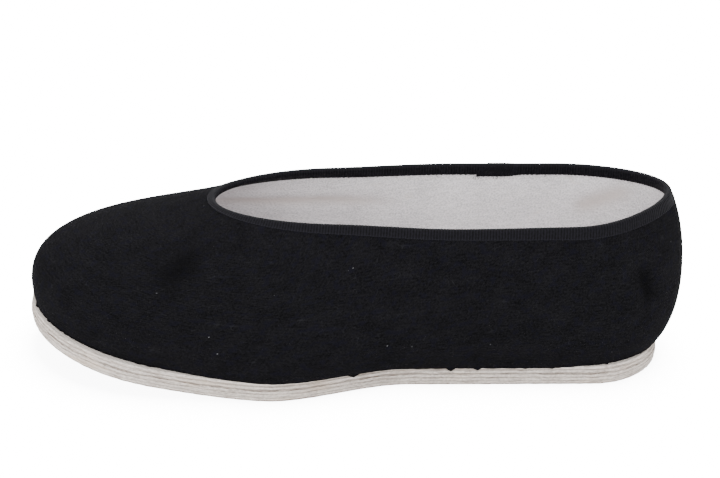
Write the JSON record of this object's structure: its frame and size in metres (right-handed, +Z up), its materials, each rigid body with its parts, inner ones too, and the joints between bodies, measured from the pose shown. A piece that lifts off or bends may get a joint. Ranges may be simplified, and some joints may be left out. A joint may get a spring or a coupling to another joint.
{
  "type": "chinese cloth shoe",
  "caption": "Low slip-on cloth shoe for the left foot: hollow black cotton upper with a bound collar on a layered cotton sole.",
  "frame": {"origin": "middle of the shoe's box, on the floor it stands on", "axes": "+Z up; -X towards the toe, +X towards the heel; -Y towards the outer side of the foot, +Y towards the inner side"},
  "size_m": [0.2822, 0.1, 0.077],
  "materials": {
    "black_cloth": "fine-weave black cotton, matt",
    "black_tape": "ribbed black cotton tape, faint sheen",
    "white_cotton": "brushed off-white cotton, matt",
    "sole_cotton": "trimmed edges of stacked off-white cotton plies, matt"
  },
  "bodies": {
    "root": {"sole_ply_1": "sole_cotton", "sole_ply_2": "sole_cotton", "sole_ply_3": "sole_cotton", "sole_ply_4": "sole_cotton", "sole_ply_5": "sole_cotton", "insole": "white_cotton", "upper": "black_cloth", "collar_binding": "black_tape"}
  },
  "joints": []
}
